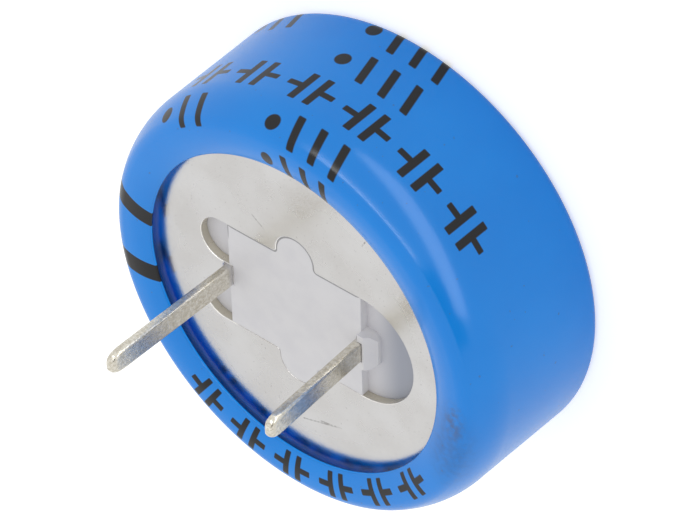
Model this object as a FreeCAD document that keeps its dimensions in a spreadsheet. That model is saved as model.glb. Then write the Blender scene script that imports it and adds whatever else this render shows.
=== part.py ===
import FreeCAD
import Part
import Sketcher

import math
import os
from collections import namedtuple

# A radial coin-stack supercapacitor standing on its closed end with the two blade pins up.
# The origin is the middle of the resting face, +Z runs along the can's axis towards the pins,
# and the pins lie on the X axis, the negative one at -X.

doc = FreeCAD.newDocument("supercapacitor")

# Driving dimensions in millimetres, plus the number of cells in series
DRIVING = (
    ("body_diameter", 28.5, "over the sleeve"),
    ("body_height", 10.7, "closed end to the crest of the pin-side rim, over the sleeve"),
    ("wall_draft", 0.2, "how much the wall's radius falls from the closed end to the shoulder"),
    ("head_radius", 0.6, "round of the closed end's edge, over the sleeve"),
    ("shoulder_width", 1.6, "wall to the crest of the rim, across the axis"),
    ("shoulder_rise", 3.0, "start of the shoulder up to the crest, along the axis"),
    ("crest_round", 1.0, "tighter of the shoulder's two rounds, at the crest"),
    ("crest_land", 0.15, "flat ring on the crest of the rim"),
    ("opening_diameter", 21.46, "sleeve's inner edge, which stands free over the negative plate"),
    ("lip_drop", 0.48, "crest down to the sleeve's inner edge"),
    ("rim_depth", 0.98, "crest down to the negative plate"),
    ("sleeve_wall", 0.13, "shrunk sleeve's thickness"),
    ("sleeve_head_lip", 1.9, "sleeve's turn-in on the closed end"),
    ("can_wall", 0.3, "drawn can's sheet"),
    ("fit_gap", 0.03, "sleeve to can, all round"),
    ("plate_thickness", 0.6, "sheet of both terminal plates and of the blades folded from them"),
    ("plate_gap", 0.1, "edge of the negative plate to the can"),
    ("blade_width", 1.4, "pin's wide face"),
    ("pin_pitch", 9.84, "pin centre to pin centre at their roots"),
    ("pin_shift", 0.16, "middle between the roots beside the axis, towards the negative pin"),
    ("negative_reach", 9.0, "crest to the negative pin's tip"),
    ("positive_reach", 6.95, "crest to the positive pin's tip"),
    ("negative_splay", 0.33, "how far the negative pin's tip leans outwards"),
    ("positive_splay", 0.32, "how far the positive pin's tip leans outwards"),
    ("tip_round", 0.6, "round of the tip's two corners"),
    ("fold_radius", 0.3, "inside of the fold at a pin's root"),
    ("slot_width", 7.54, "negative plate's cut-out, across the pins' line"),
    ("slot_reach", 8.6, "axis to the cut-out's round end"),
    ("notch_radius", 1.42, "round notch half way along each side of the cut-out"),
    ("notch_rise", 0.28, "notch's centre beyond the cut-out's side"),
    ("notch_corner", 0.22, "round of the corners where a notch opens"),
    ("insulator_base", 0.4, "insulator's disc"),
    ("pad_gap", 0.03, "insulator's raised pad to the metal round it"),
    ("pad_drop", 0.05, "pad's top below the negative plate's face"),
    ("pad_edge", 0.06, "break of the pad's top edge"),
    ("pad_length", 9.9, "pad's two ends, along the pins' line and centred between the roots"),
    ("collar_width", 2.5, "collar at the positive pin's root, across the pins' line"),
    ("collar_wall", 0.72, "collar's wall outside the positive pin"),
    ("collar_height", 0.94, "collar above the insulator's disc"),
    ("collar_corner", 0.35, "cut of the collar's two outer corners"),
    ("collar_bevel", 0.6, "bevel of the collar's outer top edge"),
    ("lance_gap", 0.3, "cut beside the blade lanced from the positive plate"),
    ("positive_margin", 0.7, "edge of the positive plate inside the stack's edge"),
    ("liner_wall", 0.25, "insulating liner round the stack"),
    ("liner_gap", 0.12, "can to liner"),
    ("stack_gap", 0.1, "liner to stack"),
    ("cell_count", 6, "cells in series"),
    ("collector", 0.2, "conductive rubber collector"),
    ("separator", 0.09, "porous separator"),
    ("gasket_width", 1.7, "insulating ring of a cell, from bore to edge"),
    ("separator_gap", 0.06, "gasket's bore to separator"),
    ("electrode_gap", 0.3, "gasket's bore to electrode"),
)
sizes = doc.addObject("Spreadsheet::Sheet", "sizes")
for row, (alias, number, note) in enumerate(DRIVING, start=1):
    sizes.set(f"A{row}", note)
    sizes.set(f"B{row}", str(number))
    sizes.setAlias(f"B{row}", alias)
doc.recompute()

# Sizes worked out from the driving ones, as expressions on the sheet
body_radius = "(sizes.body_diameter / 2)"
body_top = "sizes.body_height"
neck_radius = f"({body_radius} - sizes.wall_draft)"
shoulder_start = f"({body_top} - sizes.shoulder_rise)"
crest_outside = f"({neck_radius} - sizes.shoulder_width)"
crest_inside = f"({crest_outside} - sizes.crest_land)"
opening_radius = "(sizes.opening_diameter / 2)"
head_opening = f"({body_radius} - sizes.sleeve_head_lip)"

# The shoulder is a wide round that leaves the wall and a tight one at the crest, which meet tangent;
# inside the crest one more round falls to the sleeve's inner edge.
side_round = ("((sizes.shoulder_width ^ 2 + sizes.shoulder_rise ^ 2"
              " - 2 * sizes.shoulder_rise * sizes.crest_round)"
              " / (2 * (sizes.shoulder_width - sizes.crest_round)))")
side_centre = f"({neck_radius} - {side_round})"
crest_centre = f"({body_top} - sizes.crest_round)"
round_step = f"({side_round} - sizes.crest_round)"
join_across = f"(({side_round} - sizes.shoulder_width) / {round_step})"
join_along = f"((sizes.shoulder_rise - sizes.crest_round) / {round_step})"
fall_run = f"({crest_inside} - {opening_radius})"
fall_round = f"(({fall_run} ^ 2 + sizes.lip_drop ^ 2) / (2 * sizes.lip_drop))"
fall_centre = f"({body_top} - {fall_round})"

can_inset = "(sizes.sleeve_wall + sizes.fit_gap)"
can_skin = f"({can_inset} + sizes.can_wall)"
can_inside = f"({neck_radius} - {can_skin})"
can_floor = "(sizes.sleeve_wall + sizes.can_wall)"

plate_top = f"({body_top} - sizes.rim_depth)"
plate_bottom = f"({plate_top} - sizes.plate_thickness)"
plate_radius = f"({side_centre} + ({side_round} - {can_skin}) * {join_across} - sizes.plate_gap)"
insulator_bottom = f"({plate_bottom} - sizes.insulator_base)"
positive_bottom = f"({insulator_bottom} - sizes.plate_thickness)"

liner_outside = f"({can_inside} - sizes.liner_gap)"
liner_inside = f"({liner_outside} - sizes.liner_wall)"
stack_radius = f"({liner_inside} - sizes.stack_gap)"
cell_height = f"(({positive_bottom} - {can_floor}) / sizes.cell_count)"
electrode = f"(({cell_height} - 2 * sizes.collector - sizes.separator) / 2)"
gasket_bore = f"({stack_radius} - sizes.gasket_width)"

half_slot = "(sizes.slot_width / 2)"
half_blade = "(sizes.blade_width / 2)"
half_sheet = "(sizes.plate_thickness / 2)"
negative_axis = "(sizes.pin_pitch / 2 + sizes.pin_shift)"
positive_axis = "(sizes.pin_pitch / 2 - sizes.pin_shift)"
negative_fold = f"({negative_axis} + {half_sheet} + sizes.fold_radius)"
positive_fold = f"({positive_axis} + {half_sheet} + sizes.fold_radius)"


def value(expression):
    """The number that an expression on the sheet gives now."""
    return float(sizes.evalExpression(expression))


# A corner of an outline: the stretch that ends here is straight, or an arc of this radius that turns
# left or right
Corner = namedtuple("Corner", "x y radius turn", defaults=(None, "left"))


def new_sketch(body, name, plane, height="0"):
    """An empty sketch on one of a body's origin planes, raised along the plane's normal."""
    sketch = body.newObject("Sketcher::SketchObject", name)
    support = next(item for item in body.Origin.OriginFeatures if item.Role == plane)
    sketch.AttachmentSupport = [(support, "")]
    sketch.MapMode = "FlatFace"
    sketch.setExpression("AttachmentOffset.Base.z", height)
    return sketch


def bind(sketch, kind, place, expression):
    """Adds a dimension to a sketch and ties it to the sheet."""
    index = sketch.addConstraint(Sketcher.Constraint(kind, *place, value(expression)))
    sketch.setExpression(f"Constraints[{index}]", expression)


def draw_circle(sketch, radius):
    """A circle round the sketch's origin."""
    circle = Part.Circle(FreeCAD.Vector(), FreeCAD.Vector(0, 0, 1), value(radius))
    line = sketch.addGeometry(circle, False)
    sketch.addConstraint(Sketcher.Constraint("Coincident", line, 3, -1, 1))
    bind(sketch, "Radius", (line,), radius)


def arc_between(start, end, radius, turn):
    """The shorter arc of a given radius from one point to another."""
    chord = end - start
    across = FreeCAD.Vector(-chord.y, chord.x, 0).normalize()
    if turn == "right":
        across = across * -1
    sag = math.sqrt(max(radius ** 2 - (chord.Length / 2) ** 2, 0))
    centre = (start + end) * 0.5 + across * sag
    first, last = (start, end) if turn == "left" else (end, start)
    angles = [math.atan2(point.y - centre.y, point.x - centre.x) for point in (first, last)]
    return Part.ArcOfCircle(Part.Circle(centre, FreeCAD.Vector(0, 0, 1), radius), *angles)


def draw_outline(sketch, corners):
    """A closed outline through the corners, each held at its place by the sheet."""
    points = [FreeCAD.Vector(value(corner.x), value(corner.y), 0) for corner in corners]
    ends = []
    for index, corner in enumerate(corners):
        start, end = points[index - 1], points[index]
        if corner.radius is None:
            line = sketch.addGeometry(Part.LineSegment(start, end), False)
            ends.append((line, 1, 2))
        else:
            arc = arc_between(start, end, value(corner.radius), corner.turn)
            line = sketch.addGeometry(arc, False)
            ends.append((line, 1, 2) if corner.turn == "left" else (line, 2, 1))
    for index, corner in enumerate(corners):
        line, _, last = ends[index]
        following, first, _ = ends[(index + 1) % len(corners)]
        sketch.addConstraint(Sketcher.Constraint("Coincident", line, last, following, first))
        bind(sketch, "DistanceX", (-1, 1, line, last), corner.x)
        bind(sketch, "DistanceY", (-1, 1, line, last), corner.y)
        if corner.radius is not None:
            bind(sketch, "Radius", (line,), corner.radius)


def new_body(label):
    """An empty body for one piece."""
    body = doc.addObject("PartDesign::Body", label)
    body.Label = label
    return body


def revolve(body, corners):
    """Turns a half section, radius against height, once round the axis."""
    sketch = new_sketch(body, "section", "XZ_Plane")
    draw_outline(sketch, corners)
    turned = body.newObject("PartDesign::Revolution", "turned")
    turned.Profile = sketch
    turned.ReferenceAxis = (sketch, ["V_Axis"])
    turned.Angle = 360
    return turned


def pad(body, sketch, length, midplane=False):
    """Thickens a sketch along its normal, or equally to both sides."""
    thickened = body.newObject("PartDesign::Pad", "pad")
    thickened.Profile = sketch
    thickened.setExpression("Length", length)
    thickened.SideType = "Symmetric" if midplane else "One side"
    doc.recompute()
    return thickened


def dress_edges(body, feature, kind, chosen, size):
    """Rounds or breaks the edges of a feature that a test picks: kind is Fillet or Chamfer."""
    names = [f"Edge{number}" for number, edge in enumerate(feature.Shape.Edges, start=1) if chosen(edge)]
    dressed = body.newObject(f"PartDesign::{kind}", kind.lower())
    dressed.Base = (feature, names)
    dressed.setExpression({"Fillet": "Radius", "Chamfer": "Size"}[kind], size)
    doc.recompute()
    return dressed


def rim_corners(depth):
    """The rim's line at some depth under the sleeve's skin, from the wall up to the crest's inner end."""
    wide = f"({side_round} - {depth})"
    tight = f"(sizes.crest_round - {depth})"
    join_radius = f"({side_centre} + {wide} * {join_across})"
    join_height = f"({shoulder_start} + {wide} * {join_along})"
    crest = f"({body_top} - {depth})"
    return [
        Corner(f"({neck_radius} - {depth})", shoulder_start),
        Corner(join_radius, join_height, wide),
        Corner(crest_outside, crest, tight),
        Corner(crest_inside, crest),
    ]


def reversed_line(corners):
    """The same line drawn the other way; its first stretch becomes straight."""
    radii = [None] + [corner.radius for corner in reversed(corners[1:])]
    return [Corner(corner.x, corner.y, radius, "right") for corner, radius in zip(reversed(corners), radii)]


def fall_height(radius, depth):
    """Height of the rim's inner fall at a radius, at some depth under the sleeve's skin."""
    return f"({fall_centre} + sqrt(({fall_round} - {depth}) ^ 2 - ({crest_inside} - {radius}) ^ 2))"


def make_sleeve():
    """Shrunk tube: turned in over the closed end's edge, and over the rim down to its inner edge."""
    wall = "sizes.sleeve_wall"
    inner_head = f"(sizes.head_radius - {can_inset})"
    inner_wall = f"({body_radius} - {wall})"
    back = reversed_line(rim_corners(wall))
    revolve(new_body("heat_shrink_sleeve"), [
        Corner(head_opening, "0"),
        Corner(f"({body_radius} - sizes.head_radius)", "0"),
        Corner(body_radius, "sizes.head_radius", "sizes.head_radius"),
        *rim_corners("0"),
        Corner(opening_radius, f"({body_top} - sizes.lip_drop)", fall_round),
        Corner(opening_radius, fall_height(opening_radius, wall)),
        back[0]._replace(radius=f"({fall_round} - {wall})"),
        *back[1:],
        Corner(inner_wall, f"({wall} + {inner_head})"),
        Corner(f"({inner_wall} - {inner_head})", wall, inner_head, "right"),
        Corner(head_opening, wall),
    ])


def make_can():
    """Drawn can, its rim curled in by a quarter turn until the sheet's edge bears on the negative plate."""
    outer_wall = f"({body_radius} - {can_inset})"
    outer_head = f"(sizes.head_radius - {can_inset})"
    outer_curl = f"(sizes.rim_depth - {can_inset})"
    inner_curl = f"(sizes.rim_depth - {can_skin})"
    back = reversed_line(rim_corners(can_skin))
    revolve(new_body("outer_can"), [
        Corner("0", "sizes.sleeve_wall"),
        Corner(f"({outer_wall} - {outer_head})", "sizes.sleeve_wall"),
        Corner(outer_wall, f"(sizes.sleeve_wall + {outer_head})", outer_head),
        *rim_corners(can_inset),
        Corner(f"({crest_inside} - {outer_curl})", plate_top, outer_curl),
        Corner(f"({crest_inside} - {inner_curl})", plate_top),
        back[0]._replace(radius=inner_curl),
        *back[1:],
        Corner(f"({body_radius} - {can_skin})", can_floor),
        Corner("0", can_floor),
    ])


def add_blade(body, side, bottom, tip, splay):
    """Folds a blade up out of a plate: side is + or -, bottom the plate's underside."""
    axis = {"-": negative_axis, "+": positive_axis}[side]
    blade_inside, blade_outside = f"({axis} - {half_sheet})", f"({axis} + {half_sheet})"
    fold_start = {"-": negative_fold, "+": positive_fold}[side]
    top = f"({bottom} + sizes.plate_thickness)"
    bend_end = f"({top} + sizes.fold_radius)"
    tongue = f"({fold_start} + sizes.plate_thickness)"
    turns = ("left", "right") if side == "-" else ("right", "left")
    sketch = new_sketch(body, "blade_section", "XZ_Plane")
    draw_outline(sketch, [
        Corner(f"({side}{tongue})", bottom),
        Corner(f"({side}{fold_start})", bottom),
        Corner(f"({side}{blade_inside})", bend_end, "(sizes.fold_radius + sizes.plate_thickness)", turns[0]),
        Corner(f"({side}({blade_inside} + {splay}))", tip),
        Corner(f"({side}({blade_outside} + {splay}))", tip),
        Corner(f"({side}{blade_outside})", bend_end),
        Corner(f"({side}{fold_start})", top, "sizes.fold_radius", turns[1]),
        Corner(f"({side}{tongue})", top),
    ])
    blade = pad(body, sketch, "sizes.blade_width", midplane=True)

    def is_tip_corner(edge):
        ends = [vertex.Point for vertex in edge.Vertexes]
        at_tip = all(abs(point.z - value(tip)) < 1e-6 for point in ends)
        return at_tip and abs(ends[0].y - ends[-1].y) < 1e-6

    return dress_edges(body, blade, "Fillet", is_tip_corner, "sizes.tip_round")


def notch_corners(gap, side):
    """One notch's line, drawn with the outline on its left and set in from the notch by a gap: side - runs
    towards +X along the side at -Y, and side + runs back along the other one."""
    bore = f"(sizes.notch_radius - {gap})"
    mouth = f"(sizes.notch_corner + {gap})"
    mouth_half = "(sizes.notch_radius + sizes.notch_corner)"
    mouth_end = f"({half_slot} + sizes.notch_corner)"
    middle = f"({half_slot} + sizes.notch_rise)"
    line = [
        (f"(-{mouth_half})", f"({half_slot} - {gap})", None, "left"),
        (f"(-{bore})", mouth_end, mouth, "right"),
        (f"(-{bore})", middle, None, "left"),
        ("0", f"({middle} + {bore})", bore, "left"),
        (bore, middle, bore, "left"),
        (bore, mouth_end, None, "left"),
        (mouth_half, f"({half_slot} - {gap})", mouth, "right"),
    ]
    other = {"-": "", "+": "-"}[side]
    return [Corner(f"({other}{x})", f"({side}{y})", radius, turn) for x, y, radius, turn in line]


def cut_out_corners():
    """The negative plate's cut-out: a round-ended slot with a notch in each side and, at its other
    end, a round relief on both sides of the tongue that the blade is folded from."""
    relief_radius = f"(({half_slot} - {half_blade}) / 2)"
    relief_middle = f"(({half_slot} + {half_blade}) / 2)"
    relief_end = f"({negative_fold} + {relief_radius})"
    end_centre = f"(sizes.slot_reach - {half_slot})"
    return [
        Corner(f"(-{negative_fold})", f"(-{half_blade})"),
        Corner(f"(-{relief_end})", f"(-{relief_middle})", relief_radius),
        Corner(f"(-{negative_fold})", f"(-{half_slot})", relief_radius),
        *notch_corners("0", "-"),
        Corner(end_centre, f"(-{half_slot})"),
        Corner("sizes.slot_reach", "0", half_slot),
        Corner(end_centre, half_slot, half_slot),
        *notch_corners("0", "+"),
        Corner(f"(-{negative_fold})", half_slot),
        Corner(f"(-{relief_end})", relief_middle, relief_radius),
        Corner(f"(-{negative_fold})", half_blade, relief_radius),
    ]


def make_negative_plate():
    """Tinned end plate that closes the can, with its own blade folded up out of the cut-out."""
    body = new_body("negative_terminal_plate")
    sketch = new_sketch(body, "disc_with_cut_out", "XY_Plane", plate_bottom)
    draw_circle(sketch, plate_radius)
    draw_outline(sketch, cut_out_corners())
    pad(body, sketch, "sizes.plate_thickness")
    add_blade(body, "-", plate_bottom, f"({body_top} + sizes.negative_reach)", "sizes.negative_splay")


def make_positive_plate():
    """Disc on top of the stack, with a blade lanced out of it and folded up."""
    body = new_body("positive_terminal_plate")
    tip = f"({body_top} + sizes.positive_reach)"
    lance_half = f"({half_blade} + sizes.lance_gap)"
    lance_far = f"({positive_fold} - ({tip} - {insulator_bottom}))"
    sketch = new_sketch(body, "disc_with_window", "XY_Plane", positive_bottom)
    draw_circle(sketch, f"({stack_radius} - sizes.positive_margin)")
    draw_outline(sketch, [
        Corner(lance_far, f"(-{lance_half})"),
        Corner(positive_fold, f"(-{lance_half})"),
        Corner(positive_fold, lance_half),
        Corner(lance_far, lance_half),
    ])
    pad(body, sketch, "sizes.plate_thickness")
    add_blade(body, "+", positive_bottom, tip, "sizes.positive_splay")


def make_insulator():
    """White moulding between the plates: a disc, a pad that fills the cut-out between the pins, and a
    bevelled collar against the outer side of the positive pin's root."""
    body = new_body("terminal_insulator")
    slot_half = f"({half_blade} + sizes.pad_gap)"
    slot_near = f"({positive_axis} - {half_sheet} - sizes.pad_gap)"
    pad_start = "(sizes.pad_length / 2 + sizes.pin_shift)"
    pad_end = "(sizes.pad_length / 2 - sizes.pin_shift)"
    base = new_sketch(body, "disc_with_slot", "XY_Plane", insulator_bottom)
    draw_circle(base, stack_radius)
    draw_outline(base, [
        Corner(slot_near, f"(-{slot_half})"),
        Corner(f"({positive_fold} + sizes.pad_gap)", f"(-{slot_half})"),
        Corner(f"({positive_fold} + sizes.pad_gap)", slot_half),
        Corner(slot_near, slot_half),
    ])
    pad(body, base, "sizes.insulator_base")

    # the collar stays clear of the pin where it leans
    collar_half = "(sizes.collar_width / 2)"
    collar_top = f"({plate_bottom} + sizes.collar_height)"
    bend_end = f"({insulator_bottom} + sizes.fold_radius)"
    tip = f"({body_top} + sizes.positive_reach)"
    lean = f"(sizes.positive_splay * ({collar_top} - {bend_end}) / ({tip} - {bend_end}))"
    collar_slot = f"({positive_axis} + {half_sheet} + {lean} + sizes.pad_gap)"
    collar_end = f"({collar_slot} + sizes.collar_wall)"
    outline = new_sketch(body, "collar_outline", "XY_Plane", plate_bottom)
    draw_outline(outline, [
        Corner(pad_end, f"(-{collar_half})"),
        Corner(f"({collar_end} - sizes.collar_corner)", f"(-{collar_half})"),
        Corner(collar_end, f"(sizes.collar_corner - {collar_half})"),
        Corner(collar_end, f"({collar_half} - sizes.collar_corner)"),
        Corner(f"({collar_end} - sizes.collar_corner)", collar_half),
        Corner(pad_end, collar_half),
        Corner(pad_end, slot_half),
        Corner(collar_slot, slot_half),
        Corner(collar_slot, f"(-{slot_half})"),
        Corner(pad_end, f"(-{slot_half})"),
    ])
    collar = pad(body, outline, "sizes.collar_height")

    def is_outer_edge(edge):
        ends = [vertex.Point for vertex in edge.Vertexes]
        return all(abs(point.z - value(collar_top)) < 1e-6 and abs(point.x - value(collar_end)) < 1e-6
                   for point in ends)

    dress_edges(body, collar, "Chamfer", is_outer_edge, "sizes.collar_bevel")

    pad_half = f"({half_slot} - sizes.pad_gap)"
    pad_height = "(sizes.plate_thickness - sizes.pad_drop)"
    pocket = f"({negative_axis} - {half_sheet} - sizes.pad_gap)"
    raised = new_sketch(body, "pad_outline", "XY_Plane", plate_bottom)
    draw_outline(raised, [
        Corner(f"(-{pad_start})", f"(-{pad_half})"),
        *notch_corners("sizes.pad_gap", "-"),
        Corner(pad_end, f"(-{pad_half})"),
        Corner(pad_end, f"(-{slot_half})"),
        Corner(slot_near, f"(-{slot_half})"),
        Corner(slot_near, slot_half),
        Corner(pad_end, slot_half),
        Corner(pad_end, pad_half),
        *notch_corners("sizes.pad_gap", "+"),
        Corner(f"(-{pad_start})", pad_half),
        Corner(f"(-{pad_start})", slot_half),
        Corner(f"(-{pocket})", slot_half),
        Corner(f"(-{pocket})", f"(-{slot_half})"),
        Corner(f"(-{pad_start})", f"(-{slot_half})"),
    ])
    filled = pad(body, raised, pad_height)
    pad_top = value(f"({plate_bottom} + {pad_height})")
    pad_side = value(collar_half) + 1e-6

    def is_top_edge(edge):
        ends = [vertex.Point for vertex in edge.Vertexes]
        at_top = all(abs(point.z - pad_top) < 1e-6 for point in ends)
        at_pin = all(point.x > value(slot_near) - 1e-6 and abs(point.y) < pad_side for point in ends)
        return at_top and not at_pin

    dress_edges(body, filled, "Chamfer", is_top_edge, "sizes.pad_edge")


def disc(label, radius, bottom, height):
    """A plain round layer of the stack."""
    layer = doc.addObject("Part::Cylinder", label)
    layer.Label = label
    layer.setExpression("Radius", radius)
    layer.setExpression("Height", height)
    layer.setExpression("Placement.Base.z", bottom)
    return layer


def ring(label, outside, inside, bottom, height):
    """A plain round layer with a bore."""
    bored = doc.addObject("Part::Cut", label)
    bored.Label = label
    bored.Base = disc(f"{label}_blank", outside, bottom, height)
    bored.Tool = disc(f"{label}_bore", inside, bottom, height)
    return bored


def make_cell(number):
    """One cell: two electrodes and a separator in an insulating ring, closed by two collectors.
    Gives the labels of its layers."""
    start = f"({can_floor} + {number - 1} * {cell_height})"
    inside = f"({start} + sizes.collector)"
    middle = f"({inside} + {electrode})"
    upper = f"({middle} + sizes.separator)"
    lid = f"({upper} + {electrode})"
    name = f"cell_{number}"
    electrode_radius = f"({gasket_bore} - sizes.electrode_gap)"
    layers = [
        disc(f"{name}_lower_collector", stack_radius, start, "sizes.collector"),
        ring(f"{name}_gasket", stack_radius, gasket_bore, inside, f"({lid} - {inside})"),
        disc(f"{name}_lower_electrode", electrode_radius, inside, electrode),
        disc(f"{name}_separator", f"({gasket_bore} - sizes.separator_gap)", middle, "sizes.separator"),
        disc(f"{name}_upper_electrode", electrode_radius, upper, electrode),
        disc(f"{name}_upper_collector", stack_radius, lid, "sizes.collector"),
    ]
    return [layer.Label for layer in layers]


make_sleeve()
make_can()
make_negative_plate()
make_positive_plate()
make_insulator()
ring("stack_liner", liner_outside, liner_inside, can_floor, f"({shoulder_start} - {can_floor})")
nodes = [
    "heat_shrink_sleeve",
    "outer_can",
    "negative_terminal_plate",
    "positive_terminal_plate",
    "terminal_insulator",
    "stack_liner",
]
for cell in range(1, int(sizes.cell_count) + 1):
    nodes += make_cell(cell)
doc.recompute()

# Nothing is written unless every object and every piece came out sound
failed = [item.Label for item in doc.Objects if "Invalid" in item.State or "Error" in item.State]
if failed:
    raise RuntimeError(f"these objects failed: {failed}")
pieces = {label: doc.getObjectsByLabel(label)[0].Shape for label in nodes}
for label, shape in pieces.items():
    if shape.isNull() or not shape.isValid() or len(shape.Solids) != 1:
        raise RuntimeError(f"{label} is not one sound solid")

os.makedirs("parts", exist_ok=True)
for label, shape in pieces.items():
    shape.exportStep(f"parts/{label}.step")
    print(f"{label}: {shape.Volume:.2f} mm3")
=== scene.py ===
import bmesh
import bpy
import numpy as np
from mathutils import Matrix, Vector


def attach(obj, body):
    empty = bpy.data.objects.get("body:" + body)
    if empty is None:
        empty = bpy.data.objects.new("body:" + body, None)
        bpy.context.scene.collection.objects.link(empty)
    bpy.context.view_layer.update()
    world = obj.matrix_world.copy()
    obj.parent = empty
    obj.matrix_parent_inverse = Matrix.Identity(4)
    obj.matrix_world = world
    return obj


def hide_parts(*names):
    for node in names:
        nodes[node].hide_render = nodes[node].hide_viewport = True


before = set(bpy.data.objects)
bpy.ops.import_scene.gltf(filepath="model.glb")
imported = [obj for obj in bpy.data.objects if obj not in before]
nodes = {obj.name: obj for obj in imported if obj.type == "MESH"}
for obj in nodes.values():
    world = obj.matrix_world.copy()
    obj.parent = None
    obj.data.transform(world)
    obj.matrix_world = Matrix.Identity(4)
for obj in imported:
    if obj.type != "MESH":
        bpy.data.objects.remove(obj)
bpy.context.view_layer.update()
mm = 0.001
mergeGap = 0.0005 * mm  # points nearer than this become one
print("frame loaded:", len(nodes), "nodes")


# small tools for meshes

def arcLine(centre, radius, start, stop, steps):
    # points round a centre, angles in radians from the first axis
    turn = np.linspace(start, stop, steps + 1)
    return np.stack([centre[0] + radius * np.cos(turn), centre[1] + radius * np.sin(turn)], -1)


def straightLine(start, stop, steps):
    # evenly spaced points from one end to the other
    share = np.linspace(0, 1, steps + 1)[:, None]
    return np.asarray(start) * (1 - share) + np.asarray(stop) * share


def joinLines(*lines):
    # one polyline, with the points that two neighbours share kept once
    points = np.concatenate(lines)
    step = np.linalg.norm(np.diff(points, axis=0), axis=1)
    return points[np.concatenate([[True], step > 1e-6])]


def alongLength(points):
    return np.concatenate([[0], np.cumsum(np.linalg.norm(np.diff(points, axis=0), axis=1))])


def gridFaces(rows, columns, wrapRows, wrapColumns):
    # quads between neighbours of a grid, and the same corners unwrapped for a map
    i, j = np.meshgrid(np.arange(rows - (not wrapRows)), np.arange(columns - (not wrapColumns)), indexing="ij")
    i, j = i.ravel(), j.ravel()
    steps = ((0, 0), (1, 0), (1, 1), (0, 1))
    quads = np.stack([(i + a) % rows * columns + (j + b) % columns for a, b in steps], -1)
    corners = np.stack([np.stack([i + a, j + b], -1) for a, b in steps], 1)
    return quads, corners


def makePiece(name, vertices, faces, loopMap=None):
    # vertices in millimetres; faces as lists of indices
    mesh = bpy.data.meshes.new(name)
    mesh.from_pydata((vertices * mm).tolist(), [], faces)
    if loopMap is not None:
        layer = mesh.uv_layers.new(name="surfaceMap")
        layer.data.foreach_set("uv", loopMap.astype(np.float32).ravel())
    shadeFaces(mesh, True)
    mesh.update()
    piece = bpy.data.objects.new(name, mesh)
    bpy.context.scene.collection.objects.link(piece)
    return piece


def shadeFaces(mesh, smooth):
    mesh.polygons.foreach_set("use_smooth", np.full(len(mesh.polygons), smooth))


def closeSeams(piece):
    # merges the points that neighbouring grids share and turns every face outwards
    work = bmesh.new()
    work.from_mesh(piece.data)
    bmesh.ops.remove_doubles(work, verts=work.verts, dist=mergeGap)
    bmesh.ops.dissolve_degenerate(work, edges=work.edges, dist=mergeGap)
    bmesh.ops.recalc_face_normals(work, faces=work.faces)
    openEdges = sum(not edge.is_manifold for edge in work.edges)
    print(piece.name, len(work.faces), "faces,", openEdges, "open edges")
    work.to_mesh(piece.data)
    work.free()


def finishPiece(piece, material, node=None):
    # a piece with no node of its own is added to what the frame shows
    piece.data.materials.append(material)
    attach(piece, "root")
    if node:
        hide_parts(node)


# small tools for materials

black = (0, 0, 0, 1)
bumpDepth = 0.0001
cloudLow, cloudHigh = 0.3, 0.7  # the part of the noise's range that is used


def colour(red, green, blue):
    # 0 to 255 screen values to the linear colour that a socket takes
    part = np.array([red, green, blue]) / 255
    linear = np.where(part <= 0.04045, part / 12.92, ((part + 0.055) / 1.055) ** 2.4)
    return (*linear.tolist(), 1.0)


def put(tree, kind, inputs=None, **settings):
    made = tree.nodes.new("ShaderNode" + kind)
    for key, value in settings.items():
        setattr(made, key, value)
    for key, value in (inputs or {}).items():
        if isinstance(value, bpy.types.NodeSocket):
            tree.links.new(value, made.inputs[key])
        else:
            made.inputs[key].default_value = value
    return made


def calc(tree, operation, *values):
    return put(tree, "Math", dict(enumerate(values)), operation=operation).outputs[0]


def times(tree, first, second):
    return calc(tree, "MULTIPLY", first, second)


def vectorCalc(tree, operation, *values):
    return put(tree, "VectorMath", dict(enumerate(values)), operation=operation).outputs


def fade(tree, value, low, high):
    # 0 below low, 1 above high, smooth between; low above high turns it round
    made = put(tree, "MapRange", {"Value": value, "From Min": low, "From Max": high},
               interpolation_type="SMOOTHSTEP")
    return made.outputs[0]


def mixColour(tree, share, first, second):
    # sockets 6 and 7 take the colours and 2 gives the result
    return put(tree, "Mix", {"Factor": share, 6: first, 7: second}, data_type="RGBA").outputs[2]


def noise(tree, place, scale, detail, **more):
    return put(tree, "TexNoise", {"Vector": place, "Scale": scale, "Detail": detail, **more}).outputs["Fac"]


def cloudColour(tree, cloud, low, high):
    return mixColour(tree, fade(tree, cloud, cloudLow, cloudHigh), low, high)


def cloudValue(tree, cloud, low, high):
    return put(tree, "MapRange", {"Value": cloud, "From Min": cloudLow, "From Max": cloudHigh,
                                  "To Min": low, "To Max": high}).outputs[0]


def objectPoint(tree):
    # the place on the object, in metres for noise and in millimetres for sizes
    place = put(tree, "TexCoord").outputs["Object"]
    return place, put(tree, "VectorMath", {0: place, 3: 1 / mm}, operation="SCALE").outputs[0]


# painted light: an emission mixed into the shader makes the surface glow though it is no lamp
def addPaintedGlow(tree, shader, share, tone):
    tree.links.new(mixColour(tree, share, black, tone), shader.inputs["Emission Color"])
    shader.inputs["Emission Strength"].default_value = 1


def addBump(tree, shader, height, strength):
    bump = put(tree, "Bump", {"Height": height, "Strength": strength, "Distance": bumpDepth})
    tree.links.new(bump.outputs[0], shader.inputs["Normal"])


def newMaterial(name):
    material = bpy.data.materials.new(name)
    material.use_nodes = True
    tree = material.node_tree
    return material, tree, tree.nodes["Principled BSDF"]


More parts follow.
